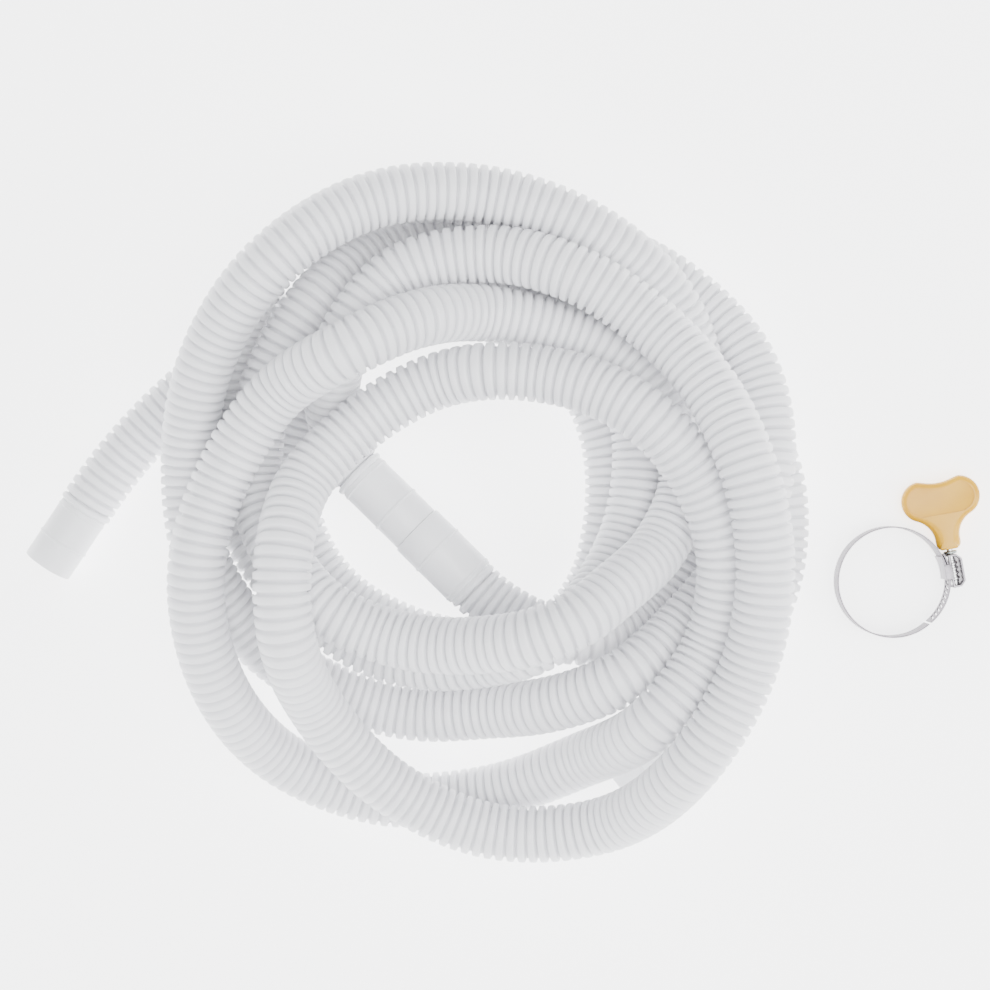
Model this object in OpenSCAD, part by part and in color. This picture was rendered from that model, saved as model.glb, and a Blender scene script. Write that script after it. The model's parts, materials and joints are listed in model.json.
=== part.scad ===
// Corrugated drain hose, coiled loosely, with a key-type worm-drive hose clamp beside it.
// Millimetres. +Z is up, the floor is z = 0 and the origin is the middle of the footprint.

/* [Hose] */
// Outer diameter over the ribs
hose_od = 26.5; // [25:0.5:32]
// Bore of the hose and of every cuff
hose_bore = 21.5; // [16:0.5:23]
// Number of flat sides on the plain tube
hose_sides = 12; // [8:1:12]
// Longest straight step along the plain tube
ring_step = 34; // [28:1:60]

/* [Cuffs] */
// Outer diameter of the two end cuffs
end_cuff_od = 24.3; // [23:0.1:30]
// Length of each end cuff
end_cuff_len = 36; // [24:1:40]
// Outer diameter of the wide cuff at mid-length
wide_cuff_od = 27; // [23:0.1:32]
// Outer diameter of the narrow cuff at mid-length
narrow_cuff_od = 25.3; // [23:0.1:32]
// Height of the small stop ring on each cuff
stop_ring_h = 0.6; // [0.3:0.1:1.2]
// Width of the small stop ring on each cuff
stop_ring_w = 1.6; // [1:0.1:3]
// Distance from the stop ring to the mouth of a cuff
stop_ring_back = 14; // [8:0.5:20]

/* [Clamp band] */
// Radius inside the open band
band_r = 26.5; // [18:0.5:34]
// Thickness of the band strip
band_t = 0.7; // [0.5:0.1:1]
// Width of the band strip
band_w = 12; // [9:0.5:14]
// Distance from one screw slot to the next
slot_pitch = 2.4; // [2:0.1:3]
// Width of one screw slot
slot_w = 1.1; // [0.8:0.1:1.4]
// Gap at each bending line of the band
bend_gap = 0.2; // [0.1:0.05:0.4]

/* [Clamp housing] */
// Length of the housing along the screw
housing_len = 16; // [14:0.5:22]
// Thickness of the housing sheet
sheet_t = 0.8; // [0.6:0.1:1.2]
// Width of the side tabs of the saddle, along the screw
saddle_tab_len = 7; // [5:0.5:9]
// Size of the two bent corners of the housing
corner_cut = 2.4; // [1.5:0.1:3]

/* [Screw] */
// Outer diameter of the screw thread
screw_od = 5.2; // [4.5:0.1:8]
// Height of one thread crest
thread_h = 0.7; // [0.4:0.1:0.8]
// Diameter of the plain screw shank
shank_d = 3.2; // [2.6:0.1:3.6]
// Outer diameter of the washer under the key
washer_d = 6.6; // [5:0.2:9]
// Thickness of the washer
washer_t = 1.4; // [0.6:0.1:2]

/* [Key] */
// Width of the key across its two wings
key_w = 38; // [32:1:46]
// Height of the key from its neck to its top
key_h = 35; // [30:1:42]
// Thickness of the key
key_t = 9.5; // [8:0.5:11]
// Radius of each wing
wing_r = 10; // [8:0.5:11]
// Width of the neck above its rounded end
key_neck_w = 12; // [10:0.5:13]
// Width of the neck where it meets the washer
neck_end_w = 8.6; // [7:0.2:10]
// Radius of the hollow between the neck and each wing
flare_r = 12; // [9:0.5:16]
// Depth of the dip between the wings
key_dip = 2; // [1:0.5:4]
// Width of the rim round the sunk panels
key_rim = 2.6; // [2:0.2:4]
// Depth of the panel sunk into each face of the key
key_recess = 0.7; // [0.3:0.1:1.2]

/* [Hidden] */

$fn = 180;
hose_colour = [0.90, 0.90, 0.92];
steel_colour = [0.72, 0.72, 0.74];
key_colour = [0.95, 0.76, 0.08];

// The turns lie on each other, so the whole lay grows with the hose.
lay = hose_od / 26.5;
// Heights below are stated with a hose on the floor at height 13.
floor_height = 13;
coil_centre = [-8.5, 0.6, hose_od / 2 - floor_height * lay];

// Route of the hose round coil_centre. Each row is [radius, height] every 20 degrees, clockwise from +Y.
step_deg = 20;
lead_in_from = -60;
lead_in = [[147, 13], [129, 13], [113, 13]];
turn_1 = [[99, 13], [88, 13], [77, 13], [68, 13], [62, 13], [60, 13], [62, 13], [65, 13], [66, 13],
    [66, 13], [67, 13], [72, 13], [81, 13], [90, 13], [97, 13], [102, 18], [104, 31], [107, 40]];
turn_2 = [[108, 39], [102, 37], [94, 35], [83, 36], [73, 38], [67, 42], [64, 51], [64, 66], [65, 66],
    [68, 54], [75, 45], [84, 39], [94, 37], [110, 32], [126, 28], [143, 40], [154, 55], [156, 48]];
turn_3 = [[148, 40], [138, 39], [142, 29], [144, 35], [135, 42], [120, 40], [106, 48], [99, 59], [95, 47],
    [95, 30], [103, 22], [113, 23], [124, 35], [135, 48], [141, 53], [147, 69], [150, 84], [152, 76]];
turn_4a = [[147, 67], [139, 66], [131, 55], [117, 44], [108, 26], [100, 19], [92, 22], [77, 39]];
turn_4b_from = 320;
turn_4b = [[102, 69], [117, 70]];
turn_5 = [[119, 71], [116, 80], [114, 82], [115, 91], [118, 102], [126, 100], [136, 93], [146, 86], [156, 50],
    [150, 41], [136, 45], [120, 62], [104, 91], [92, 92], [84, 76], [73, 69], [67, 67], [65, 68]];
turn_6 = [[65, 74], [68, 76], [75, 82], [85, 88], [97, 84], [110, 79], [119, 72], [122, 74], [126, 36],
    [136, 16], [148, 14], [154, 26], [147, 58], [134, 76], [120, 77], [109, 83], [96, 98], [93, 88]];
turn_7 = [[92, 68], [91, 62], [94, 62], [96, 63], [95, 54], [82, 64], [68, 84], [62, 94], [59, 93],
    [59, 85], [64, 76], [73, 70], [86, 69], [98, 61], [110, 51], [118, 53], [127, 52], [136, 28]];
lead_out = [[139, 14], [126, 13], [116, 13], [125, 13], [141, 13], [144, 13], [142, 13], [143, 13]];
// Straight stretches: the mouth and root of the inlet cuff, and the middle cuffs across the open centre.
inlet_mouth = [-214, -26, 13];
inlet_root = [-194, 4, 13];
middle_from = [-5, -36, 35];
middle_to = [-62, 20, 32];
middle_after = [-72, 46, 43];

function on_circle(i, from, rz) =
    [rz[0] * sin(from + i * step_deg), rz[0] * cos(from + i * step_deg), rz[1]];
function round_rows(rows, from = 0) = [for (i = [0:len(rows) - 1]) on_circle(i, from, rows[i])];
route = [for (p = concat([inlet_mouth, inlet_root], round_rows(lead_in, lead_in_from),
    round_rows(turn_1), round_rows(turn_2), round_rows(turn_3), round_rows(turn_4a),
    [middle_from, middle_to, middle_after], round_rows(turn_4b, turn_4b_from),
    round_rows(turn_5), round_rows(turn_6), round_rows(turn_7), round_rows(lead_out)))
    lay * p];

// Places along the route where one piece of hose ends and the next begins.
at_inlet_root = 1;
at_turn_1 = at_inlet_root + 1 + len(lead_in);
at_turn_2 = at_turn_1 + len(turn_1);
at_turn_3 = at_turn_2 + len(turn_2);
at_turn_4 = at_turn_3 + len(turn_3);
at_middle_from = at_turn_4 + len(turn_4a);
at_middle_to = at_middle_from + 1;
at_turn_5 = at_middle_to + 2 + len(turn_4b);
at_turn_6 = at_turn_5 + len(turn_5);
at_turn_7 = at_turn_6 + len(turn_6);
at_lead_out = at_turn_7 + len(turn_7);
at_outlet_root = len(route) - 1;

function unit(v) = v / norm(v);
function gap_after(i) = norm(route[i + 1] - route[i]);
function slope_after(i) = (route[i + 1] - route[i]) / gap_after(i);
middle_axis = unit(route[at_middle_to] - route[at_middle_from]);
outlet_heading = (len(lead_out) - 1) * step_deg;
outlet_axis = [cos(outlet_heading), -sin(outlet_heading), 0];

// Direction of the hose at each route point; it runs straight into every cuff.
function heading(i) =
    i <= at_inlet_root ? slope_after(0)
    : i == at_middle_from || i == at_middle_to ? middle_axis
    : i == at_outlet_root ? outlet_axis
    : (slope_after(i - 1) * gap_after(i) + slope_after(i) * gap_after(i - 1))
        / (gap_after(i) + gap_after(i - 1));

// Smooth curve through two neighbouring route points, and its direction, at t from 0 to 1.
function curve_point(i, t) =
    (2 * pow(t, 3) - 3 * pow(t, 2) + 1) * route[i]
    + (pow(t, 3) - 2 * pow(t, 2) + t) * gap_after(i) * heading(i)
    + (3 * pow(t, 2) - 2 * pow(t, 3)) * route[i + 1]
    + (pow(t, 3) - pow(t, 2)) * gap_after(i) * heading(i + 1);
function curve_heading(i, t) = unit(
    (6 * pow(t, 2) - 6 * t) * (route[i] - route[i + 1])
    + (3 * pow(t, 2) - 4 * t + 1) * gap_after(i) * heading(i)
    + (3 * pow(t, 2) - 2 * t) * gap_after(i) * heading(i + 1));

// One ring of points square to the direction d.
function ring(c, d, r) = let (side = unit(cross(d, [0, 0, 1])), up = cross(side, d))
    [for (k = [0:hose_sides - 1]) let (a = 360 * k / hose_sides)
        c + r * (cos(a) * side + sin(a) * up)];

module coil() { translate(coil_centre) children(); }

// Hollow plain tube from one route point to another.
module hose_piece(from, to) {
    places = concat([for (i = [from:to - 1]) let (n = max(1, round(gap_after(i) / ring_step)))
        for (k = [0:n - 1]) [i, k / n]], [[to - 1, 1]]);
    n = hose_sides;
    m = len(places);
    outer = [for (p = places) each ring(curve_point(p[0], p[1]), curve_heading(p[0], p[1]), hose_od / 2)];
    inner = [for (p = places) each ring(curve_point(p[0], p[1]), curve_heading(p[0], p[1]), hose_bore / 2)];
    outer_skin = [for (i = [0:m - 2], k = [0:n - 1]) let (a = i * n + k, b = i * n + (k + 1) % n)
        each [[a, b, b + n], [a, b + n, a + n]]];
    inner_skin = [for (f = outer_skin) [f[2] + m * n, f[1] + m * n, f[0] + m * n]];
    first_end = [for (k = [0:n - 1]) let (a = k, b = (k + 1) % n)
        each [[a, a + m * n, b + m * n], [a, b + m * n, b]]];
    last_end = [for (f = first_end) [for (j = [2, 1, 0]) f[j] + (m - 1) * n]];
    coil() color(hose_colour)
        polyhedron(concat(outer, inner), concat(outer_skin, inner_skin, first_end, last_end));
}

// Smooth cuff with a bore and one stop ring: its root is at the origin and its mouth at +Z.
module cuff(od, length) {
    ring_at = length - stop_ring_back;
    rotate_extrude($fn = 96)
        polygon([[hose_bore / 2, 0], [od / 2, 0],
            [od / 2, ring_at - stop_ring_w / 2],
            [od / 2 + stop_ring_h, ring_at - stop_ring_w / 4],
            [od / 2 + stop_ring_h, ring_at + stop_ring_w / 4],
            [od / 2, ring_at + stop_ring_w / 2],
            [od / 2, length], [hose_bore / 2, length]]);
}

// Stands a piece that was drawn along +Z at point p, along direction d.
module stand_along(p, d) {
    translate(p) rotate([0, acos(d[2]), atan2(d[1], d[0])]) children();
}

middle_cuff_len = norm(route[at_middle_to] - route[at_middle_from]) / 2;
module inlet_cuff() {
    coil() color(hose_colour)
        stand_along(route[at_inlet_root], -slope_after(0)) cuff(end_cuff_od, end_cuff_len);
}
module wide_middle_cuff() {
    coil() color(hose_colour)
        stand_along(route[at_middle_from], middle_axis) cuff(wide_cuff_od, middle_cuff_len);
}
module narrow_middle_cuff() {
    coil() color(hose_colour)
        stand_along(route[at_middle_to], -middle_axis) cuff(narrow_cuff_od, middle_cuff_len);
}
module outlet_cuff() {
    coil() color(hose_colour)
        stand_along(route[at_outlet_root], outlet_axis) cuff(end_cuff_od, end_cuff_len);
}

module hose_lead_in() { hose_piece(at_inlet_root, at_turn_1); }
module hose_turn_1() { hose_piece(at_turn_1, at_turn_2); }
module hose_turn_2() { hose_piece(at_turn_2, at_turn_3); }
module hose_turn_3() { hose_piece(at_turn_3, at_turn_4); }
module hose_turn_4a() { hose_piece(at_turn_4, at_middle_from); }
module hose_turn_4b() { hose_piece(at_middle_to, at_turn_5); }
module hose_turn_5() { hose_piece(at_turn_5, at_turn_6); }
module hose_turn_6() { hose_piece(at_turn_6, at_turn_7); }
module hose_turn_7() { hose_piece(at_turn_7, at_lead_out); }
module hose_lead_out() { hose_piece(at_lead_out, at_outlet_root); }

// ---- Clamp: drawn round its own centre, screw on the +X side and parallel to Y, then laid in place.
// It lies just clear of the coil, whose turns reach coil_reach from coil_centre.
coil_reach = 169.3;
clamp_clear = 1.6;
clamp_at = [coil_centre[0] + coil_reach * lay + clamp_clear + band_r + band_t, -33.4, 0];
clamp_angle = 10.5;
module clamp_place() { translate(clamp_at) rotate([0, 0, clamp_angle]) children(); }

fit = 0.2;
tab_t = sheet_t;
band_z = tab_t + fit;
mid_z = band_z + band_w / 2;
lap_gap = 0.4;
// The slotted tail runs on a circle moved outwards, so that it laps over the head under the screw.
link_deg = 60;
tail_shift = [band_t + lap_gap, (band_t + lap_gap) / tan(link_deg)];
tail_outer_x = band_r + band_t + tail_shift[0];
screw_x = tail_outer_x + fit + screw_od / 2;
head_from = -3;
tail_tip = 18;
gap_deg = bend_gap / band_r * 180 / PI;

// Arc of the band strip from angle a to angle b.
module band_arc(a, b) {
    translate([0, 0, band_z]) rotate([0, 0, a])
        rotate_extrude(angle = b - a) translate([band_r, 0]) square([band_t, band_w]);
}
module band_link(i) {
    clamp_place() color(steel_colour)
        band_arc(i * link_deg + gap_deg / 2, (i + 1) * link_deg - gap_deg / 2);
}
module band_head() {
    clamp_place() color(steel_colour) band_arc(head_from, link_deg - gap_deg / 2);
}
module band_link_1() { band_link(1); }
module band_link_2() { band_link(2); }
module band_link_3() { band_link(3); }
module band_link_4() { band_link(4); }

slot_edge = 2.3;
slot_len = band_w - 2 * slot_edge;
slot_lean = 12;
slot_deg = slot_pitch / (band_r + band_t) * 180 / PI;
// Plain lengths of the tail before its first slot and after its last, in degrees.
plain_root = 6;
plain_tip = 3;
slots_from = -link_deg + plain_root;
slot_count = floor((tail_tip - plain_tip - slots_from) / slot_deg);
module band_slotted_tail() {
    clamp_place() color(steel_colour) translate([tail_shift[0], tail_shift[1], 0]) difference() {
        band_arc(-link_deg + gap_deg / 2, tail_tip);
        for (i = [0:slot_count - 1]) rotate([0, 0, slots_from + i * slot_deg])
            translate([band_r + band_t / 2, 0, mid_z]) rotate([slot_lean, 0, 0])
                cube([3 * band_t, slot_w, slot_len], center = true);
    }
}

// Saddle: a curved plate inside the head strip, with two side tabs that fold over the band's edges.
saddle_from = -7;
saddle_to = 18;
rail_x = tail_outer_x + fit;
module clamp_saddle() {
    clamp_place() color(steel_colour) union() {
        translate([0, 0, band_z]) rotate([0, 0, saddle_from])
            rotate_extrude(angle = saddle_to - saddle_from)
                translate([band_r - sheet_t, 0]) square([sheet_t, band_w]);
        difference() {
            translate([0, -saddle_tab_len / 2, 0])
                cube([rail_x + sheet_t, saddle_tab_len, 2 * band_z + band_w]);
            translate([band_r - sheet_t / 4, -saddle_tab_len, tab_t])
                cube([2 * rail_x, 2 * saddle_tab_len, band_w + 2 * fit]);
            translate([0, 0, -1]) cylinder(h = band_w + 4 * band_z, r = band_r - sheet_t * 3 / 4);
        }
    }
}

// Housing: sheet bent round the screw, open at both sides, with a window over the band.
housing_w = band_w + 2 * fit;
housing_out_x = screw_x + screw_od / 2 + 2 * fit + sheet_t;
rail_w = 1.6;
shank_hole_d = shank_d + 2 * fit;
module housing_outline(inset) {
    x0 = rail_x + inset;
    x1 = housing_out_x - inset;
    y1 = housing_len / 2 - inset;
    cut = corner_cut - inset * 0.6;
    polygon([[x0, -y1], [x1 - cut, -y1], [x1, -y1 + cut], [x1, y1 - cut], [x1 - cut, y1], [x0, y1]]);
}
module clamp_housing() {
    clamp_place() color(steel_colour) difference() {
        translate([0, 0, tab_t]) linear_extrude(height = housing_w) difference() {
            housing_outline(0);
            housing_outline(sheet_t);
        }
        translate([rail_x - 1, -housing_len / 2 + sheet_t, tab_t + rail_w])
            cube([sheet_t + 2, housing_len - 2 * sheet_t, housing_w - 2 * rail_w]);
        translate([screw_x, 0, mid_z]) rotate([90, 0, 0])
            cylinder(h = housing_len + 2, d = shank_hole_d, center = true);
    }
}

// Everything on the screw's axis is drawn along +Z, where z = 0 is the middle of the housing.
module screw_place() {
    clamp_place() translate([screw_x, 0, mid_z]) rotate([-90, 0, 0]) children();
}
thread_half = housing_len / 2 - corner_cut - fit;
thread_turns = floor(2 * thread_half / slot_pitch);
thread_from = -thread_turns * slot_pitch / 2;
// The neck of the key starts where the sliding tail has curved away from it.
key_from = housing_len / 2 + washer_t + 6 * fit;
shank_in_key = 12;
// One thread crest as [height, place along the pitch], both in shares of the thread.
crest = [[0, 0.15], [1, 0.4], [1, 0.6], [0, 0.85]];
module worm_screw() {
    screw_place() color(steel_colour) {
        rotate_extrude() polygon(concat([[0, -thread_half], [screw_od / 2 - thread_h, -thread_half]],
            [for (i = [0:thread_turns - 1], p = crest)
                [screw_od / 2 - thread_h + p[0] * thread_h, thread_from + (i + p[1]) * slot_pitch]],
            [[screw_od / 2 - thread_h, thread_half], [0, thread_half]]));
        translate([0, 0, -housing_len / 2 - sheet_t])
            cylinder(h = housing_len / 2 + sheet_t - thread_half, d = shank_d);
        translate([0, 0, thread_half])
            cylinder(h = key_from + shank_in_key - thread_half, d = shank_d);
    }
}
module screw_washer() {
    screw_place() color(steel_colour) translate([0, 0, housing_len / 2 + fit]) difference() {
        cylinder(h = washer_t, d = washer_d);
        translate([0, 0, -1]) cylinder(h = washer_t + 2, d = shank_d);
    }
}

// Key: a round-ended neck that flares into two round wings with a shallow dip between them.
wing_x = key_w / 2 - wing_r;
wing_y = key_h - wing_r;
flare_x = key_neck_w / 2 + flare_r;
flare_y = wing_y - sqrt(pow(wing_r + flare_r, 2) - pow(flare_x - wing_x, 2));
// Where the hollow meets the wing, as a share of the line between their centres.
meet = wing_r / (wing_r + flare_r);
meet_x = wing_x + meet * (flare_x - wing_x);
meet_y = wing_y + meet * (flare_y - wing_y);
dip_r = (pow(wing_x, 2) + pow(key_dip, 2)) / (2 * key_dip);
neck_round = 3;
panel_from = key_h / 2;
module key_outline(inset) {
    difference() {
        union() {
            for (s = [-1, 1]) translate([s * wing_x, wing_y]) circle(r = wing_r - inset);
            polygon([[-wing_x, key_h - inset], [-meet_x, meet_y], [-key_neck_w / 2, flare_y],
                [-key_neck_w / 2, 0], [key_neck_w / 2, 0], [key_neck_w / 2, flare_y],
                [meet_x, meet_y], [wing_x, key_h - inset]]);
        }
        for (s = [-1, 1]) translate([s * flare_x, flare_y]) circle(r = flare_r + inset);
        translate([0, key_h - key_dip + dip_r]) circle(r = dip_r + inset);
    }
}
module key_handle() {
    neck_top = flare_y + neck_round;
    screw_place() color(key_colour) translate([0, 0, key_from]) difference() {
        intersection() {
            rotate([90, 0, 0]) linear_extrude(height = key_t, center = true) key_outline(0);
            union() {
                cylinder(h = neck_round, d1 = neck_end_w, d2 = key_neck_w);
                translate([0, 0, neck_round]) cylinder(h = neck_top, d = key_neck_w);
                translate([-key_w, -key_t, neck_top]) cube([2 * key_w, 2 * key_t, key_h]);
            }
        }
        translate([0, 0, -1]) cylinder(h = shank_in_key + 1, d = shank_d);
        for (s = [-1, 1]) translate([0, s * key_t / 2, 0]) rotate([90, 0, 0])
            linear_extrude(height = 2 * key_recess, center = true) intersection() {
                key_outline(key_rim);
                translate([-key_w, panel_from]) square([2 * key_w, key_h]);
            }
    }
}

inlet_cuff();
hose_lead_in();
hose_turn_1();
hose_turn_2();
hose_turn_3();
hose_turn_4a();
wide_middle_cuff();
narrow_middle_cuff();
hose_turn_4b();
hose_turn_5();
hose_turn_6();
hose_turn_7();
hose_lead_out();
outlet_cuff();
clamp_saddle();
clamp_housing();
band_head();
band_link_1();
band_link_2();
band_link_3();
band_link_4();
band_slotted_tail();
worm_screw();
screw_washer();
key_handle();
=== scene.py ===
"""A coiled corrugated drain hose with smooth cuffs, and a key-turned worm-drive clamp beside it."""
import json
from bisect import bisect_right
from math import asin, atan2, cos, degrees, pi, radians, sin, sqrt, tan

import bpy
from mathutils import Matrix, Vector


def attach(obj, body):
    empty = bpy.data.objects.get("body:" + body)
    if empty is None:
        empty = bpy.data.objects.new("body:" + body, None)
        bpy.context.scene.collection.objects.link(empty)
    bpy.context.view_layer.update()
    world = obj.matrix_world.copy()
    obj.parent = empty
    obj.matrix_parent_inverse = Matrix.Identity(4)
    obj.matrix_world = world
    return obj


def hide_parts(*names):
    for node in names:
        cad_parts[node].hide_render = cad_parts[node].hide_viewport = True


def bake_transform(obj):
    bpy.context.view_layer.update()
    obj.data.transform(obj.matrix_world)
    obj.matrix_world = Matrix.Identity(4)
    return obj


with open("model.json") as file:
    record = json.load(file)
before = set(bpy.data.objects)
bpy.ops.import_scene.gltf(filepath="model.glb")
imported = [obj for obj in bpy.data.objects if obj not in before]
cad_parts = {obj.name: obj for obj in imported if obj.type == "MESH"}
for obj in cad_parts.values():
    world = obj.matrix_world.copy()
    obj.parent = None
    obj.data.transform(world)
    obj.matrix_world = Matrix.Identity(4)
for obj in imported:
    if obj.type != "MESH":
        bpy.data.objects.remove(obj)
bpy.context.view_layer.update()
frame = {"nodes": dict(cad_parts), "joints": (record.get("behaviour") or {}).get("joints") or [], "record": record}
record = frame["record"]


# ---- Room: a pale sweep of floor, a wide soft light overhead and a camera that looks straight down.
# The camera stands a metre above the coil, a little left of the middle.
CAMERA_AT = (-0.0045, 0.0091, 1.0)
VIEW_WIDTH = 0.4886

camera_data = bpy.data.cameras.new("camera")
camera_data.sensor_width = 36
camera_data.lens = 36 * CAMERA_AT[2] / VIEW_WIDTH
camera_data.clip_start = 0.01
camera = bpy.data.objects.new("camera", camera_data)
camera.location = CAMERA_AT
bpy.context.scene.collection.objects.link(camera)
bpy.context.scene.camera = camera

for o in bpy.context.selected_objects:
    o.select_set(False)
bpy.ops.mesh.primitive_plane_add(size=6)
floor = bpy.context.active_object
floor.name = "floor"


def soft_light(name, place, size, power, aim=(0, 0, 0)):
    data = bpy.data.lights.new(name, "AREA")
    data.shape = "DISK"
    data.size = size
    data.energy = power
    light = bpy.data.objects.new(name, data)
    light.location = place
    light.rotation_euler = (Vector(aim) - Vector(place)).to_track_quat("-Z", "Y").to_euler()
    bpy.context.scene.collection.objects.link(light)


soft_light("overhead", (0.35, -0.25, 1.9), 1.6, 48)
soft_light("right_side", (1.5, -0.3, 0.9), 0.9, 16)
soft_light("left_side", (-1.3, -0.9, 1.0), 1.0, 14)
world = bpy.data.worlds.new("room")
world.use_nodes = True
world.node_tree.nodes["Background"].inputs["Color"].default_value = (0.95, 0.97, 1, 1)
world.node_tree.nodes["Background"].inputs["Strength"].default_value = 1.1
bpy.context.scene.world = world


# ---- Shader sockets: an expression on wrapped sockets adds its nodes.
class Maths:
    """One output socket of a material, or the material's own tree."""

    def __init__(self, tree, socket=None):
        self.tree = tree
        self.socket = socket

    def node(self, kind, settings=(), out=0, **values):
        new = self.tree.nodes.new(kind)
        for name, value in dict(settings).items():
            setattr(new, name, value)
        for name, value in values.items():
            key = int(name[1:]) if name[0] == "i" and name[1:].isdigit() else name.replace("_", " ")
            if isinstance(value, Maths):
                self.tree.links.new(value.socket, new.inputs[key])
            else:
                new.inputs[key].default_value = value
        return Maths(self.tree, new.outputs[out])

    def maths(self, operation, first, second):
        return self.node("ShaderNodeMath", {"operation": operation}, i0=first, i1=second)

    def __add__(self, other):
        return self.maths("ADD", self, other)

    def __mul__(self, other):
        return self.maths("MULTIPLY", self, other)

    def __sub__(self, other):
        return self.maths("SUBTRACT", self, other)

    def __rsub__(self, other):
        return self.maths("SUBTRACT", other, self)

    __radd__ = __add__
    __rmul__ = __mul__

    def ramp(self, *stops):
        """A smooth ramp of numbers: each stop is (place, value)."""
        new = self.tree.nodes.new("ShaderNodeValToRGB")
        elements = new.color_ramp.elements
        while len(elements) < len(stops):
            elements.new(0.5)
        for element, (place, value) in zip(elements, stops):
            element.position = place
            element.color = (value, value, value, 1)
        self.tree.links.new(self.socket, new.inputs[0])
        return Maths(self.tree, new.outputs[0])

    def mix(self, low, high):
        """Colour from low to high by this number."""
        mixed = self.tree.nodes.new("ShaderNodeMix")
        mixed.data_type = "RGBA"
        self.tree.links.new(self.socket, mixed.inputs[0])
        for place, value in ((6, low), (7, high)):
            if isinstance(value, Maths):
                self.tree.links.new(value.socket, mixed.inputs[place])
            else:
                mixed.inputs[place].default_value = (*value, 1)
        return Maths(self.tree, mixed.outputs[2])


def new_material(name, **numbers):
    """A material with its plain numbers set on the shader, and its tree to add nodes to."""
    material = bpy.data.materials.new(name)
    material.use_nodes = True
    shader = material.node_tree.nodes["Principled BSDF"]
    for key, value in numbers.items():
        shader.inputs[key.replace("_", " ")].default_value = value
    return material, Maths(material.node_tree), shader


def feed(material, shader, **links):
    for key, value in links.items():
        material.node_tree.links.new(value.socket, shader.inputs[key.replace("_", " ")])


floor_white, _, shader = new_material("floor_white", Roughness=0.9, Emission_Strength=3.0)
shader.inputs["Base Color"].default_value = (0.93, 0.93, 0.93, 1)
shader.inputs["Emission Color"].default_value = (1, 1, 1, 1)
floor.data.materials.append(floor_white)


# ---- Drain hose: milky polyethylene, moulded over rings, with round ribs and narrow grooves.
# It is one length, laid by hand in loose turns; each turn here is a piece of its own.
HOSE_D = 0.0265
BORE_D = 0.0215
GROOVE_DEPTH = 0.0021
RIB_PITCH = 0.0049
HOSE_SIDES = 44
# One rib, as (place along the rib, depth below the crest as a share of the groove, painted light on the surface:
# painted shade in the groove, painted highlight on the crest edges).
RIB = [(0, 1, 0), (0.1, 0.93, 0.1), (0.17, 0.45, 0.6), (0.22, 0.1, 1), (0.34, 0.0, 0.75),
       (0.66, 0.0, 0.75), (0.78, 0.1, 1), (0.83, 0.45, 0.6), (0.9, 0.93, 0.1)]
# Rows of (radius, height) every 20 degrees clockwise from +Y, round the coil's middle.
STEP_DEG = 20
COIL_MIDDLE = Vector((-0.0085, 0.0006, 0.00025))
LEAD_IN = [(0.147, 0.013), (0.129, 0.013), (0.113, 0.013)]
TURN_1 = [(0.099, 0.013), (0.088, 0.013), (0.077, 0.013), (0.068, 0.013), (0.062, 0.013),
    (0.06, 0.013), (0.062, 0.013), (0.065, 0.013), (0.066, 0.013), (0.066, 0.013), (0.067, 0.013),
    (0.072, 0.013), (0.081, 0.013), (0.09, 0.013), (0.097, 0.013), (0.102, 0.018), (0.104, 0.031),
    (0.107, 0.04)]
TURN_2 = [(0.108, 0.039), (0.102, 0.037), (0.094, 0.035), (0.083, 0.036), (0.073, 0.038),
    (0.067, 0.042), (0.064, 0.051), (0.064, 0.066), (0.065, 0.066), (0.068, 0.054),
    (0.075, 0.045), (0.084, 0.039), (0.094, 0.037), (0.11, 0.032), (0.126, 0.028), (0.143, 0.04),
    (0.154, 0.055), (0.156, 0.048)]
TURN_3 = [(0.148, 0.04), (0.138, 0.039), (0.142, 0.029), (0.144, 0.035), (0.135, 0.042),
    (0.12, 0.04), (0.106, 0.048), (0.099, 0.059), (0.095, 0.047), (0.095, 0.03), (0.103, 0.022),
    (0.113, 0.023), (0.124, 0.035), (0.135, 0.048), (0.141, 0.053), (0.147, 0.069), (0.15, 0.084),
    (0.152, 0.076)]
TURN_4A = [(0.147, 0.067), (0.139, 0.066), (0.131, 0.055), (0.117, 0.044), (0.108, 0.026),
    (0.1, 0.019), (0.092, 0.022), (0.077, 0.039)]
TURN_4B = [(0.102, 0.069), (0.117, 0.07)]
TURN_5 = [(0.119, 0.071), (0.116, 0.08), (0.114, 0.082), (0.115, 0.091), (0.118, 0.102),
    (0.126, 0.1), (0.136, 0.093), (0.146, 0.086), (0.156, 0.05), (0.15, 0.041), (0.136, 0.045),
    (0.12, 0.062), (0.104, 0.091), (0.092, 0.092), (0.084, 0.076), (0.073, 0.069), (0.067, 0.067),
    (0.065, 0.068)]
TURN_6 = [(0.065, 0.074), (0.068, 0.076), (0.075, 0.082), (0.085, 0.088), (0.097, 0.084),
    (0.11, 0.079), (0.119, 0.072), (0.122, 0.074), (0.126, 0.036), (0.136, 0.016), (0.148, 0.014),
    (0.154, 0.026), (0.147, 0.058), (0.134, 0.076), (0.12, 0.077), (0.109, 0.083), (0.096, 0.098),
    (0.093, 0.088)]
TURN_7 = [(0.092, 0.068), (0.091, 0.062), (0.094, 0.062), (0.096, 0.063), (0.095, 0.054),
    (0.082, 0.064), (0.068, 0.084), (0.062, 0.094), (0.059, 0.093), (0.059, 0.085),
    (0.064, 0.076), (0.073, 0.07), (0.086, 0.069), (0.098, 0.061), (0.11, 0.051), (0.118, 0.053),
    (0.127, 0.052), (0.136, 0.028)]
LEAD_OUT = [(0.139, 0.014), (0.126, 0.013), (0.116, 0.013), (0.125, 0.013), (0.141, 0.013),
    (0.144, 0.013), (0.142, 0.013), (0.143, 0.013)]
INLET_MOUTH = (-0.214, -0.026, 0.013)
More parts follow.
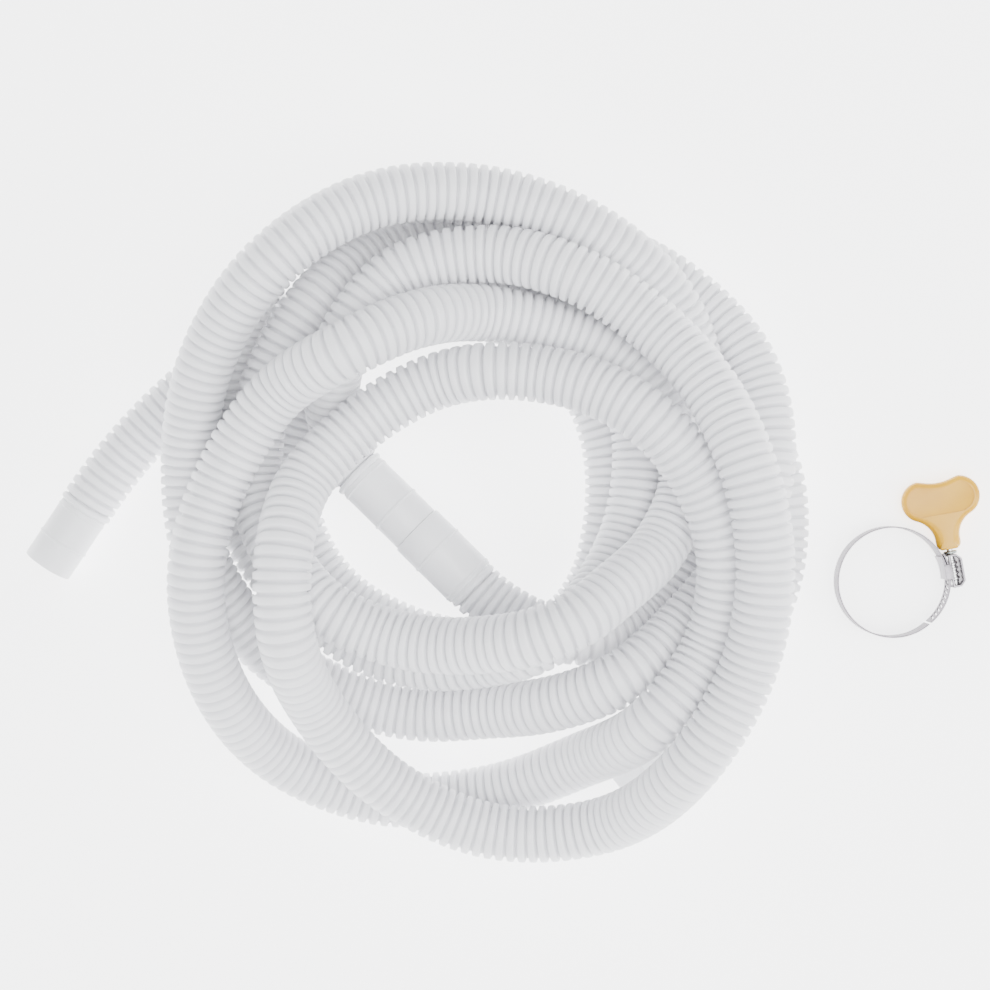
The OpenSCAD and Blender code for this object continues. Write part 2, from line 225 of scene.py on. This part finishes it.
INLET_ROOT = (-0.194, 0.004, 0.013)
MIDDLE_FROM = (-0.005, -0.036, 0.035)
MIDDLE_TO = (-0.062, 0.02, 0.032)
MIDDLE_AFTER = (-0.072, 0.046, 0.043)


def round_rows(rows, start=0):
    return [Vector((r * sin(radians(start + i * STEP_DEG)), r * cos(radians(start + i * STEP_DEG)), z))
            for i, (r, z) in enumerate(rows)]


LEAD_IN_FROM = -3 * STEP_DEG
TURN_4B_FROM = 360 - 2 * STEP_DEG
LAY = [
    ("inlet_end", [Vector(INLET_MOUTH), Vector(INLET_ROOT)]),
    ("lead_in", round_rows(LEAD_IN, LEAD_IN_FROM)), ("turn_1", round_rows(TURN_1)),
    ("turn_2", round_rows(TURN_2)), ("turn_3", round_rows(TURN_3)),
    ("turn_4a", round_rows(TURN_4A)),
    ("middle", [Vector(MIDDLE_FROM), Vector(MIDDLE_TO)]),
    ("turn_4b", [Vector(MIDDLE_AFTER)] + round_rows(TURN_4B, TURN_4B_FROM)),
    ("turn_5", round_rows(TURN_5)), ("turn_6", round_rows(TURN_6)),
    ("turn_7", round_rows(TURN_7)), ("lead_out", round_rows(LEAD_OUT)),
]
route, starts = [], {}
for part, points in LAY:
    starts[part] = len(route)
    route += [p + COIL_MIDDLE for p in points]
inlet_root, middle_from, middle_to = 1, starts["middle"], starts["middle"] + 1
outlet_root = len(route) - 1
outlet_turn = radians((len(LEAD_OUT) - 1) * STEP_DEG)
outlet_axis = Vector((cos(outlet_turn), -sin(outlet_turn), 0))
middle_axis = (route[middle_to] - route[middle_from]).normalized()


def gap_after(i):
    return (route[i + 1] - route[i]).length


def heading(i):
    """The hose's direction at a route point; it runs straight into every cuff."""
    if i <= inlet_root:
        return (route[1] - route[0]).normalized()
    if i in (middle_from, middle_to):
        return middle_axis
    if i == outlet_root:
        return outlet_axis
    before, after = gap_after(i - 1), gap_after(i)
    return ((route[i] - route[i - 1]) / before * after
            + (route[i + 1] - route[i]) / after * before) / (after + before)


def smooth_line(first, last, steps=24):
    """Points and directions on the smooth curve through the route points from first to last."""
    line = []
    for i in range(first, last):
        a, b, gap = route[i], route[i + 1], gap_after(i)
        u, v = heading(i) * gap, heading(i + 1) * gap
        for k in range(steps + (i == last - 1)):
            t = k / steps
            line.append((
                (2 * t**3 - 3 * t**2 + 1) * a + (t**3 - 2 * t**2 + t) * u
                + (3 * t**2 - 2 * t**3) * b + (t**3 - t**2) * v,
                ((6 * t**2 - 6 * t) * (a - b) + (3 * t**2 - 4 * t + 1) * u
                 + (3 * t**2 - 2 * t) * v).normalized()))
    return line


def hose_piece(name, nodes, first, last):
    line = smooth_line(first, last)
    run = [0]
    for (p, _), (q, _) in zip(line, line[1:]):
        run.append(run[-1] + (q - p).length)
    length = run[-1]
    ribs = round(length / RIB_PITCH)
    vertices, faces, rib_painted_lights = [], [], []

    def add_ring(at, radius, rib_painted_light):
        at = min(max(at, 0), length)
        k = min(bisect_right(run, at), len(run) - 1)
        share = (at - run[k - 1]) / (run[k] - run[k - 1])
        centre = line[k - 1][0].lerp(line[k][0], share)
        along = line[k - 1][1].lerp(line[k][1], share).normalized()
        side = along.cross(Vector((0, 0, 1))).normalized()
        up = side.cross(along)
        for j in range(HOSE_SIDES):
            turn = 2 * pi * j / HOSE_SIDES
            vertices.append(centre + radius * (cos(turn) * side + sin(turn) * up))
            rib_painted_lights.append(rib_painted_light)

    # Each outer ring takes its painted shade or painted highlight from the RIB table; the bore rings take a middle
    # value.
    places = [((i + t) * length / ribs, HOSE_D / 2 - GROOVE_DEPTH * deep, rib_painted_light)
              for i in range(ribs) for t, deep, rib_painted_light in RIB]
    places.append((length, HOSE_D / 2 - GROOVE_DEPTH, 0))
    for at, radius, rib_painted_light in places:
        add_ring(at, radius, rib_painted_light)
    outer = len(places)
    for i in range(ribs + 1):
        add_ring((ribs - i) * length / ribs, BORE_D / 2, 0.5)
    rings = outer + ribs + 1
    for i in range(rings):
        for j in range(HOSE_SIDES):
            a, b = i * HOSE_SIDES, (i + 1) % rings * HOSE_SIDES
            k = (j + 1) % HOSE_SIDES
            faces.append((a + j, b + j, b + k, a + k))
    mesh = bpy.data.meshes.new(name)
    mesh.from_pydata(vertices, [], faces)
    mesh.attributes.new("rib_painted_light", "FLOAT", "POINT").data.foreach_set("value", rib_painted_lights)
    mesh.shade_smooth()
    piece = bpy.data.objects.new(name, mesh)
    bpy.context.scene.collection.objects.link(piece)
    mesh.materials.append(hose_plastic)
    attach(piece, "hose")
    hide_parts(*nodes)
    [tuple(p) for p, _ in line[::4]] + [tuple(line[-1][0])]


hose_plastic, tree, shader = new_material(
    "hose_plastic", Roughness=0.42, Subsurface_Weight=0.35, Subsurface_Scale=0.004, IOR=1.5)
shader.inputs["Subsurface Radius"].default_value = (1, 1, 1)
# The per-ring value from the RIB table paints shade into the grooves and a highlight on the crest edges; the cloud
# noise is random mottling of the plastic.
rib_painted_light = tree.node("ShaderNodeAttribute", {"attribute_name": "rib_painted_light"}, out=2)
place = tree.node("ShaderNodeTexCoord", out=3)
cloud = tree.node("ShaderNodeTexNoise", Vector=place, Scale=38.0, Detail=3.0)
grain = tree.node("ShaderNodeTexNoise", Vector=place, Scale=900.0, Detail=2.0)
surface = (rib_painted_light * 0.8 + cloud * 0.3).ramp((0.1, 0.0), (1.0, 1.0))
bump = tree.node("ShaderNodeBump", Height=grain, Strength=0.08, Distance=0.0004)
feed(hose_plastic, shader,
     Base_Color=surface.mix((0.78, 0.78, 0.81), (0.93, 0.93, 0.95)),
     Roughness=grain * 0.2 + 0.3, Normal=bump)

HOSE_PIECES = [
    ("ribbed_lead_in", ["hose_lead_in"], inlet_root, starts["turn_1"]),
    ("ribbed_turn_1", ["hose_turn_1"], starts["turn_1"], starts["turn_2"]),
    ("ribbed_turn_2", ["hose_turn_2"], starts["turn_2"], starts["turn_3"]),
    ("ribbed_turn_3", ["hose_turn_3"], starts["turn_3"], starts["turn_4a"]),
    ("ribbed_turn_4", ["hose_turn_4a"], starts["turn_4a"], middle_from),
    ("ribbed_turn_5", ["hose_turn_4b", "hose_turn_5"], middle_to, starts["turn_6"]),
    ("ribbed_turn_6", ["hose_turn_6"], starts["turn_6"], starts["turn_7"]),
    ("ribbed_turn_7", ["hose_turn_7"], starts["turn_7"], starts["lead_out"]),
    ("ribbed_lead_out", ["hose_lead_out"], starts["lead_out"], outlet_root),
]
for name, nodes, first, last in HOSE_PIECES:
    hose_piece(name, nodes, first, last)


# ---- Cuffs: smooth ends that push over a spigot, with a small stop ring, and a double cuff
# at mid-length that can be cut to make two hoses. They are moulded in one with the hose.
CUFF_D = 0.0243
CUFF_LENGTH = 0.036
WIDE_D = 0.0270
NARROW_D = 0.0253
STOP_RING_BACK = 0.014
SMOOTH_ANGLE = radians(35)


def to_mesh_place(piece, matrix):
    piece.data.transform(matrix)
    piece.data.update()


def only(piece):
    for o in bpy.context.selected_objects:
        o.select_set(False)
    bpy.context.view_layer.objects.active = piece
    piece.select_set(True)


def spun(name, profile, degrees_round=360, steps=72):
    """A closed outline of (radius, height) points, spun round +Z from the XZ plane."""
    mesh = bpy.data.meshes.new(name)
    n = len(profile)
    mesh.from_pydata([(r, 0, z) for r, z in profile], [(i, (i + 1) % n) for i in range(n)], [])
    piece = bpy.data.objects.new(name, mesh)
    bpy.context.scene.collection.objects.link(piece)
    only(piece)
    bpy.ops.object.mode_set(mode="EDIT")
    bpy.ops.mesh.select_all(action="SELECT")
    if degrees_round < 360:
        bpy.ops.mesh.edge_face_add()
    # The operator turns clockwise about its axis, so the axis points down.
    bpy.ops.mesh.spin(steps=steps, angle=radians(degrees_round), center=(0, 0, 0), axis=(0, 0, -1))
    bpy.ops.mesh.select_all(action="SELECT")
    bpy.ops.mesh.remove_doubles(threshold=1e-6)
    bpy.ops.mesh.normals_make_consistent(inside=False)
    bpy.ops.object.mode_set(mode="OBJECT")
    only(piece)
    bpy.ops.object.shade_smooth_by_angle(angle=SMOOTH_ANGLE)
    return piece


def stop_ring(radius, at, height=0.0006, width=0.0016):
    return [(radius, at - width / 2), (radius + 0.7 * height, at - width * 0.3),
            (radius + height, at), (radius + 0.7 * height, at + width * 0.3),
            (radius, at + width / 2)]


def cuff(name, node, diameter, length, root, along, mouth_edge=0.0006):
    bore, outer = BORE_D / 2, diameter / 2
    crest = HOSE_D / 2
    profile = ([(bore, 0), (crest - GROOVE_DEPTH, 0), (crest - 0.0003, 0.0008), (crest, 0.0013),
                (crest, 0.0024), (crest - 0.0003, 0.0028), (min(outer, crest) - 0.0006, 0.0036),
                (outer - 0.0001, 0.0042)]
               + stop_ring(outer, 0.0062, 0.0004, 0.0012)
               + stop_ring(outer, length - STOP_RING_BACK)
               + [(outer, length - mouth_edge), (outer - mouth_edge * 0.3, length - mouth_edge * 0.3),
                  (outer - mouth_edge, length), (bore + mouth_edge / 2, length),
                  (bore, length - mouth_edge / 2)])
    piece = spun(name, profile)
    to_mesh_place(piece, Matrix.Translation(root)
                  @ Vector((0, 0, 1)).rotation_difference(along).to_matrix().to_4x4())
    piece.data.materials.append(cuff_plastic)
    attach(piece, "hose")
    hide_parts(node)


cuff_plastic, tree, shader = new_material(
    "cuff_plastic", Roughness=0.35, Subsurface_Weight=0.35, Subsurface_Scale=0.004, IOR=1.5)
shader.inputs["Subsurface Radius"].default_value = (1, 1, 1)
place = tree.node("ShaderNodeTexCoord", out=3)
cloud = tree.node("ShaderNodeTexNoise", Vector=place, Scale=60.0, Detail=3.0)
scuff = tree.node("ShaderNodeTexNoise", Vector=place, Scale=500.0, Detail=3.0)
bump = tree.node("ShaderNodeBump", Height=scuff, Strength=0.06, Distance=0.0003)
feed(cuff_plastic, shader,
     Base_Color=cloud.ramp((0.3, 0.0), (0.7, 1.0)).mix((0.88, 0.885, 0.90), (0.92, 0.925, 0.94)),
     Roughness=scuff * 0.2 + 0.25, Normal=bump)

half_middle = (route[middle_to] - route[middle_from]).length / 2
inlet_axis = (route[0] - route[1]).normalized()
cuff("smooth_inlet_cuff", "inlet_cuff", CUFF_D, CUFF_LENGTH, route[inlet_root], inlet_axis)
cuff("smooth_outlet_cuff", "outlet_cuff", CUFF_D, CUFF_LENGTH, route[outlet_root], outlet_axis)
cuff("smooth_wide_cuff", "wide_middle_cuff", WIDE_D, half_middle, route[middle_from], middle_axis)
cuff("smooth_narrow_cuff", "narrow_middle_cuff", NARROW_D, half_middle, route[middle_to],
     -middle_axis)


# ---- Clamp band: one springy stainless strip, 12 mm wide, bent round and back through the housing.
# It is made in pieces: the head, the two sides and the tail each ride on a body of their own, and the bends
# between them are left unattached.
BAND_R = 0.0265
BAND_T = 0.0007
BAND_W = 0.012
BAND_Z = 0.001
LAP = 0.0011
TAIL_SHIFT = (LAP, LAP / tan(radians(60)))
SLOT_PITCH = 0.0024
SLOT_W = 0.0011
SLOT_L = 0.0074
SLOT_LEAN = 12
SLOTS = 13
FIRST_SLOT = -54
HEAD_SPAN = (-3, 30)
TAIL_SPAN = (-60, 18)

clamp_middle = Vector(next(m for m in record["mounts"] if m["name"] == "clamp_band")["pos_m"])
clamp_middle.z = 0
key_joint = next(j for j in frame["joints"] if j["name"] == "turn_key")
key_axis = Vector(key_joint["axis"])
clamp_turn = atan2(key_axis.x, -key_axis.y)
clamp_place = Matrix.Translation(clamp_middle) @ Matrix.Rotation(clamp_turn, 4, "Z")


def steel(name, colour, dark, rough, across):
    """Steel with a fine grain, finer in the directions that across stretches: on the band it
    changes almost only with height, so that its brushed lines run along the strip."""
    material, tree, shader = new_material(name, Metallic=1.0)
    place = tree.node("ShaderNodeTexCoord", out=3)
    lines = tree.node("ShaderNodeTexNoise", Scale=1.0, Detail=4.0, Vector=tree.node(
        "ShaderNodeMapping", Vector=place, Scale=across))
    blotch = tree.node("ShaderNodeTexNoise", Vector=place, Scale=160.0, Detail=2.0)
    shade = (lines * 0.6 + blotch * 0.4).ramp((0.3, 0.0), (0.7, 1.0))
    bump = tree.node("ShaderNodeBump", Height=lines, Strength=0.15, Distance=0.0001)
    feed(material, shader, Base_Color=shade.mix(dark, colour), Roughness=lines * 0.25 + rough,
         Normal=bump)
    return material


band_steel = steel("band_steel", (0.27, 0.25, 0.27), (0.16, 0.145, 0.165), 0.3, (60, 60, 6000))


def strip(name, start, end, shift=(0, 0)):
    """A stretch of the band from one angle to another, with rounded edges."""
    r, soft = 0.15, 0.00022
    inner, outer, low, high = BAND_R, BAND_R + BAND_T, BAND_Z, BAND_Z + BAND_W
    profile = [(inner + soft, low), (outer - soft, low), (outer - soft * r, low + soft * r),
               (outer, low + soft), (outer, high - soft), (outer - soft * r, high - soft * r),
               (outer - soft, high), (inner + soft, high), (inner + soft * r, high - soft * r),
               (inner, high - soft), (inner, low + soft), (inner + soft * r, low + soft * r)]
    piece = spun(name, profile, end - start, steps=max(8, round((end - start) / 2)))
    to_mesh_place(piece, Matrix.Translation((*shift, 0))
                  @ Matrix.Rotation(radians(start), 4, "Z"))
    return piece


def finish_steel(piece):
    to_mesh_place(piece, clamp_place)
    piece.data.materials.append(band_steel)


head = strip("band_head_strip", *HEAD_SPAN)
finish_steel(head)
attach(head, "clamp")
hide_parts("band_head")
# Each: piece, the body it rides on, the body that it bends to, its two angles, the bend, its node.
BENDS = [("band_bend_1_strip", "clamp", "band_a", 30, 90, 60, "band_link_1"),
         ("band_side_a_strip", "band_a", None, 90, 150, 0, "band_link_2"),
         ("band_bend_2_strip", "band_a", "band_b", 150, 210, 180, "band_link_3"),
         ("band_side_b_strip", "band_b", None, 210, 270, 0, "band_link_4"),
         ("band_bend_3_strip", "band_b", "band_tail", 270, 300, 290, None)]
for name, first, second, start, end, bend_at, node in BENDS:
    piece = strip(name, start, end)
    finish_steel(piece)
    if node:
        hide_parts(node)
    if second:
        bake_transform(piece)
    else:
        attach(piece, first)


def cut_away(piece, cutter):
    change = piece.modifiers.new("cut", "BOOLEAN")
    change.object = cutter
    change.operation = "DIFFERENCE"
    change.solver = "EXACT"
    only(piece)
    bpy.ops.object.modifier_apply(modifier=change.name)
    bpy.data.objects.remove(cutter)


def round_edges(piece, width, segments=2, angle=40):
    change = piece.modifiers.new("edges", "BEVEL")
    change.width = width
    change.segments = segments
    change.limit_method = "ANGLE"
    change.angle_limit = radians(angle)
    change.harden_normals = False
    only(piece)
    bpy.ops.object.modifier_apply(modifier=change.name)
    bpy.ops.object.shade_smooth_by_angle(angle=SMOOTH_ANGLE)


# The tail's slots are slanted, so that the screw's thread drives them.
tail = strip("band_tail_strip", *TAIL_SPAN, TAIL_SHIFT)
slot_deg = degrees(SLOT_PITCH / (BAND_R + BAND_T))
cutters = []
for i in range(SLOTS):
    only(tail)
    bpy.ops.mesh.primitive_cube_add(size=1)
    cutter = bpy.context.active_object
    cutter.scale = (0.003, SLOT_W, SLOT_L)
    bpy.ops.object.transform_apply(location=False, rotation=False, scale=True)
    change = cutter.modifiers.new("ends", "BEVEL")
    change.width = SLOT_W * 0.42
    change.segments = 3
    bpy.ops.object.modifier_apply(modifier=change.name)
    to_mesh_place(cutter, Matrix.Translation((*TAIL_SHIFT, 0))
                  @ Matrix.Rotation(radians(FIRST_SLOT + i * slot_deg), 4, "Z")
                  @ Matrix.Translation((BAND_R + BAND_T / 2, 0, BAND_Z + BAND_W / 2))
                  @ Matrix.Rotation(radians(SLOT_LEAN), 4, "X"))
    cutters.append(cutter)
only(cutters[0])
for cutter in cutters:
    cutter.select_set(True)
bpy.ops.object.join()
cut_away(tail, cutters[0])
only(tail)
bpy.ops.object.shade_smooth_by_angle(angle=SMOOTH_ANGLE)
finish_steel(tail)
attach(tail, "band_tail")
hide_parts("band_slotted_tail")


# ---- Saddle and housing: pressed sheet. The saddle's tabs fold over the band's edges, and the
# housing is bent round the screw and open at both sides.
SHEET_EDGE = 0.00016


def pressed(node, name):
    """A pressed piece: the frame's own shape with its sheet edges rounded over."""
    source = frame["nodes"][node]
    piece = bpy.data.objects.new(name, source.data.copy())
    piece.data.materials.clear()
    bpy.context.scene.collection.objects.link(piece)
    only(piece)
    bpy.ops.object.mode_set(mode="EDIT")
    bpy.ops.mesh.select_all(action="SELECT")
    bpy.ops.mesh.remove_doubles(threshold=2e-6)
    bpy.ops.mesh.dissolve_limited(angle_limit=radians(1))
    bpy.ops.object.mode_set(mode="OBJECT")
    round_edges(piece, SHEET_EDGE, 2, 30)
    piece.data.materials.append(pressed_steel)
    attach(piece, "clamp")
    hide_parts(node)


pressed_steel = steel("pressed_steel", (0.36, 0.34, 0.36), (0.24, 0.22, 0.245), 0.25, (900, 900, 900))
pressed("clamp_saddle", "saddle_plate")
pressed("clamp_housing", "screw_housing")


# ---- Worm screw: turned steel with a right-hand thread, held by its shank in both ends of the
# housing, with a washer under the key.
SCREW_D = 0.0052
THREAD_H = 0.0007
SHANK_D = 0.0032
THREAD_TURNS = 4
THREAD_FADE = 0.0004
THREAD_STEPS = 96
CORE_HALF = 0.0057
screw_place = Matrix.Translation(Vector(key_joint["pos_m"])) @ (
    Vector((0, 0, 1)).rotation_difference(-key_axis).to_matrix().to_4x4())
HOUSING_L = 0.016


def crest(share):
    """Height of the thread over one pitch, as a share of its full height."""
    if share < 0.15 or share > 0.85:
        return 0
    return min(1, (share - 0.15) / 0.22, (0.85 - share) / 0.22)


def ringed(name, rings, sides=48):
    """A closed turned piece: each ring is a height and a radius, or a height and a rule."""
    vertices, faces = [], []
    for z, radius in rings:
        for j in range(sides):
            turn = 2 * pi * j / sides
            r = radius(turn) if callable(radius) else radius
            vertices.append((r * cos(turn), r * sin(turn), z))
    for i in range(len(rings) - 1):
        for j in range(sides):
            k = (j + 1) % sides
            a, b = i * sides, (i + 1) * sides
            faces.append((a + j, a + k, b + k, b + j))
    faces.append(tuple(reversed(range(sides))))
    faces.append(tuple(range((len(rings) - 1) * sides, len(rings) * sides)))
    mesh = bpy.data.meshes.new(name)
    mesh.from_pydata(vertices, [], faces)
    piece = bpy.data.objects.new(name, mesh)
    bpy.context.scene.collection.objects.link(piece)
    only(piece)
    bpy.ops.object.shade_smooth_by_angle(angle=SMOOTH_ANGLE)
    return piece


thread_end = THREAD_TURNS * SLOT_PITCH / 2
core = SCREW_D / 2 - THREAD_H
low_end, high_end = -HOUSING_L / 2 - 0.0008, HOUSING_L / 2 + 0.0142
rings = [(low_end, SHANK_D / 2 - 0.0003), (low_end + 0.0003, SHANK_D / 2),
         (-CORE_HALF, SHANK_D / 2), (-CORE_HALF + 0.00005, core - 0.0001),
         (-CORE_HALF + 0.0001, core)]
for i in range(THREAD_STEPS + 1):
    z = -thread_end - THREAD_FADE + i * 2 * (thread_end + THREAD_FADE) / THREAD_STEPS
    fade = min(1, max(0, (thread_end + THREAD_FADE - abs(z)) / 0.0006))
    rings.append((z, lambda turn, z=z, fade=fade: core + THREAD_H * fade
                  * crest((z / SLOT_PITCH - turn / (2 * pi)) % 1)))
rings += [(CORE_HALF - 0.0001, core), (CORE_HALF - 0.00005, core - 0.0001),
          (CORE_HALF, SHANK_D / 2), (high_end, SHANK_D / 2)]
screw = ringed("turned_screw", rings)
to_mesh_place(screw, screw_place)
screw_steel = steel("screw_steel", (0.83, 0.83, 0.82), (0.66, 0.67, 0.66), 0.12, (700, 700, 700))
screw.data.materials.append(screw_steel)
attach(screw, "key_and_screw")
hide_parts("worm_screw")

WASHER_D = 0.0066
WASHER_T = 0.0014
washer = spun("turned_washer", [
    (SHANK_D / 2, 0), (WASHER_D / 2 - 0.0003, 0), (WASHER_D / 2, 0.0003),
    (WASHER_D / 2, WASHER_T - 0.0003), (WASHER_D / 2 - 0.0003, WASHER_T), (SHANK_D / 2, WASHER_T)])
to_mesh_place(washer, screw_place @ Matrix.Translation((0, 0, HOUSING_L / 2 + 0.0002)))
washer_steel = steel("washer_steel", (0.44, 0.47, 0.45), (0.22, 0.25, 0.24), 0.25, (900, 900, 900))
washer.data.materials.append(washer_steel)
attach(washer, "key_and_screw")
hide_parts("screw_washer")


# ---- Key: a thumb key moulded in yellow plastic on the screw's shank, with a round neck, two wings
# and a panel sunk into each face.
KEY_W = 0.038
KEY_H = 0.035
KEY_T = 0.0095
WING_R = 0.010
NECK_W = 0.012
NECK_END_W = 0.0086
FLARE_R = 0.012
KEY_DIP = 0.002
KEY_RIM = 0.0028
PANEL_DEPTH = 0.0006
KEY_FROM = HOUSING_L / 2 + WASHER_T + 0.0012
NECK_CORNER = 0.0004
NECK_SWELL_H = 0.003
NECK_EDGE_R = 0.0044
WING_EDGE_R = 0.0026
NECK_FACE_R = 0.0012

wing_x, wing_y = KEY_W / 2 - WING_R, KEY_H - WING_R
flare_x = NECK_W / 2 + FLARE_R
flare_y = wing_y - sqrt((WING_R + FLARE_R) ** 2 - (flare_x - wing_x) ** 2)
dip_r = (wing_x ** 2 + KEY_DIP ** 2) / (2 * KEY_DIP)
dip_y = KEY_H - KEY_DIP + dip_r


def arc(x, y, r, start, end, steps):
    """Points on a circle from one angle to another."""
    points = []
    for i in range(steps + 1):
        a = radians(start + (end - start) * i / steps)
        points.append((x + r * cos(a), y + r * sin(a)))
    return points


def key_side():
    """The key's right side, from the middle of its neck's end up to the middle of the dip."""
    meet = degrees(atan2(flare_y - wing_y, flare_x - wing_x))
    dip_end = degrees(asin((wing_x - 0.001) / dip_r))
    end_x, swell = NECK_END_W / 2, (NECK_W - NECK_END_W) / 2
    side = [(0, 0), (end_x / 2, 0), (end_x - 0.0006, 0), (end_x, NECK_CORNER)]
    for a in (20, 40, 60, 80):
        side.append((end_x + swell * sin(radians(a)),
                     NECK_CORNER + NECK_SWELL_H * (1 - cos(radians(a)))))
    side += arc(flare_x, flare_y, FLARE_R, 180, 180 + meet, 18)
    side += arc(wing_x, wing_y, WING_R, meet + 4, 84, 30)
    side += arc(0, dip_y, dip_r, -90 + dip_end * 0.8, -90, 10)
    return side


side = key_side()
outline = side + [(-x, y) for x, y in reversed(side[1:-1])]
normals = []
for i, (x, y) in enumerate(outline):
    (x0, y0), (x1, y1) = outline[i - 1], outline[(i + 1) % len(outline)]
    normals.append(Vector((y1 - y0, x0 - x1)).normalized())


def rounding(y):
    """The radius of the edge: nearly half the thickness at the neck, less on the wings."""
    share = min(1, max(0, (y - 0.006) / 0.012))
    return NECK_EDGE_R + (WING_EDGE_R - NECK_EDGE_R) * share * share * (3 - 2 * share)


EDGE_STEPS = 6
levels = []
for side_of in (-1, 1):
    span = range(EDGE_STEPS, -1, -1) if side_of < 0 else range(EDGE_STEPS + 1)
    for k in span:
        levels.append((side_of, radians(90 * k / EDGE_STEPS)))
vertices, faces = [], []
for side_of, turn in levels:
    for (x, y), n in zip(outline, normals):
        r = rounding(y) if y > 0.0005 else NECK_FACE_R
        most = abs(x) * 0.8 + 0.00001 if y < 0.02 else 1
        p = Vector((x, y)) - n * min(r * (1 - cos(turn)), most)
        vertices.append((p.x, side_of * (KEY_T / 2 - r + r * sin(turn)), p.y))
n = len(outline)
for i in range(len(levels) - 1):
    for j in range(n):
        k = (j + 1) % n
        faces.append((i * n + j, (i + 1) * n + j, (i + 1) * n + k, i * n + k))
faces.append(tuple(range(n)))
faces.append(tuple(reversed(range((len(levels) - 1) * n, len(levels) * n))))
mesh = bpy.data.meshes.new("thumb_key")
mesh.from_pydata(vertices, [], faces)
key = bpy.data.objects.new("thumb_key", mesh)
bpy.context.scene.collection.objects.link(key)
only(key)
bpy.ops.object.mode_set(mode="EDIT")
bpy.ops.mesh.select_all(action="SELECT")
bpy.ops.mesh.remove_doubles(threshold=1e-6)
bpy.ops.mesh.normals_make_consistent(inside=False)
bpy.ops.object.mode_set(mode="OBJECT")

# The sunk panel keeps a rim to the wings' edges and ends straight above the neck.
panel = []
for (x, y), n in zip(outline, normals):
    p = Vector((x, y)) - n * KEY_RIM
    if p.y > KEY_H * 0.5:
        panel.append((p.x, p.y))
count = len(panel)
low, high = KEY_T / 2 - PANEL_DEPTH, KEY_T / 2 + 0.001
for face in (-1, 1):
    cutter_mesh = bpy.data.meshes.new("panel_cutter")
    cutter_mesh.from_pydata(
        [(x, face * h, y) for h in (low, high) for x, y in panel], [],
        [tuple(range(count)), tuple(range(count, 2 * count))]
        + [(j, (j + 1) % count, (j + 1) % count + count, j + count) for j in range(count)])
    cutter = bpy.data.objects.new("panel_cutter", cutter_mesh)
    bpy.context.scene.collection.objects.link(cutter)
    only(cutter)
    bpy.ops.object.mode_set(mode="EDIT")
    bpy.ops.mesh.select_all(action="SELECT")
    bpy.ops.mesh.normals_make_consistent(inside=False)
    bpy.ops.object.mode_set(mode="OBJECT")
    cut_away(key, cutter)
round_edges(key, 0.0003, 3, 40)
to_mesh_place(key, screw_place @ Matrix.Translation((0, 0, KEY_FROM)))

key_plastic, tree, shader = new_material("key_plastic", IOR=1.5)
place = tree.node("ShaderNodeTexCoord", out=3)
flow = tree.node("ShaderNodeTexNoise", Vector=place, Scale=70.0, Detail=2.0)
grain = tree.node("ShaderNodeTexNoise", Vector=place, Scale=1500.0, Detail=2.0)
bump = tree.node("ShaderNodeBump", Height=grain, Strength=0.12, Distance=0.0002)
feed(key_plastic, shader,
     Base_Color=flow.ramp((0.3, 0.0), (0.7, 1.0)).mix((0.66, 0.33, 0.0), (0.74, 0.40, 0.0)),
     Roughness=grain * 0.15 + 0.25, Normal=bump)
key.data.materials.append(key_plastic)
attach(key, "key_and_screw")
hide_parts("key_handle")
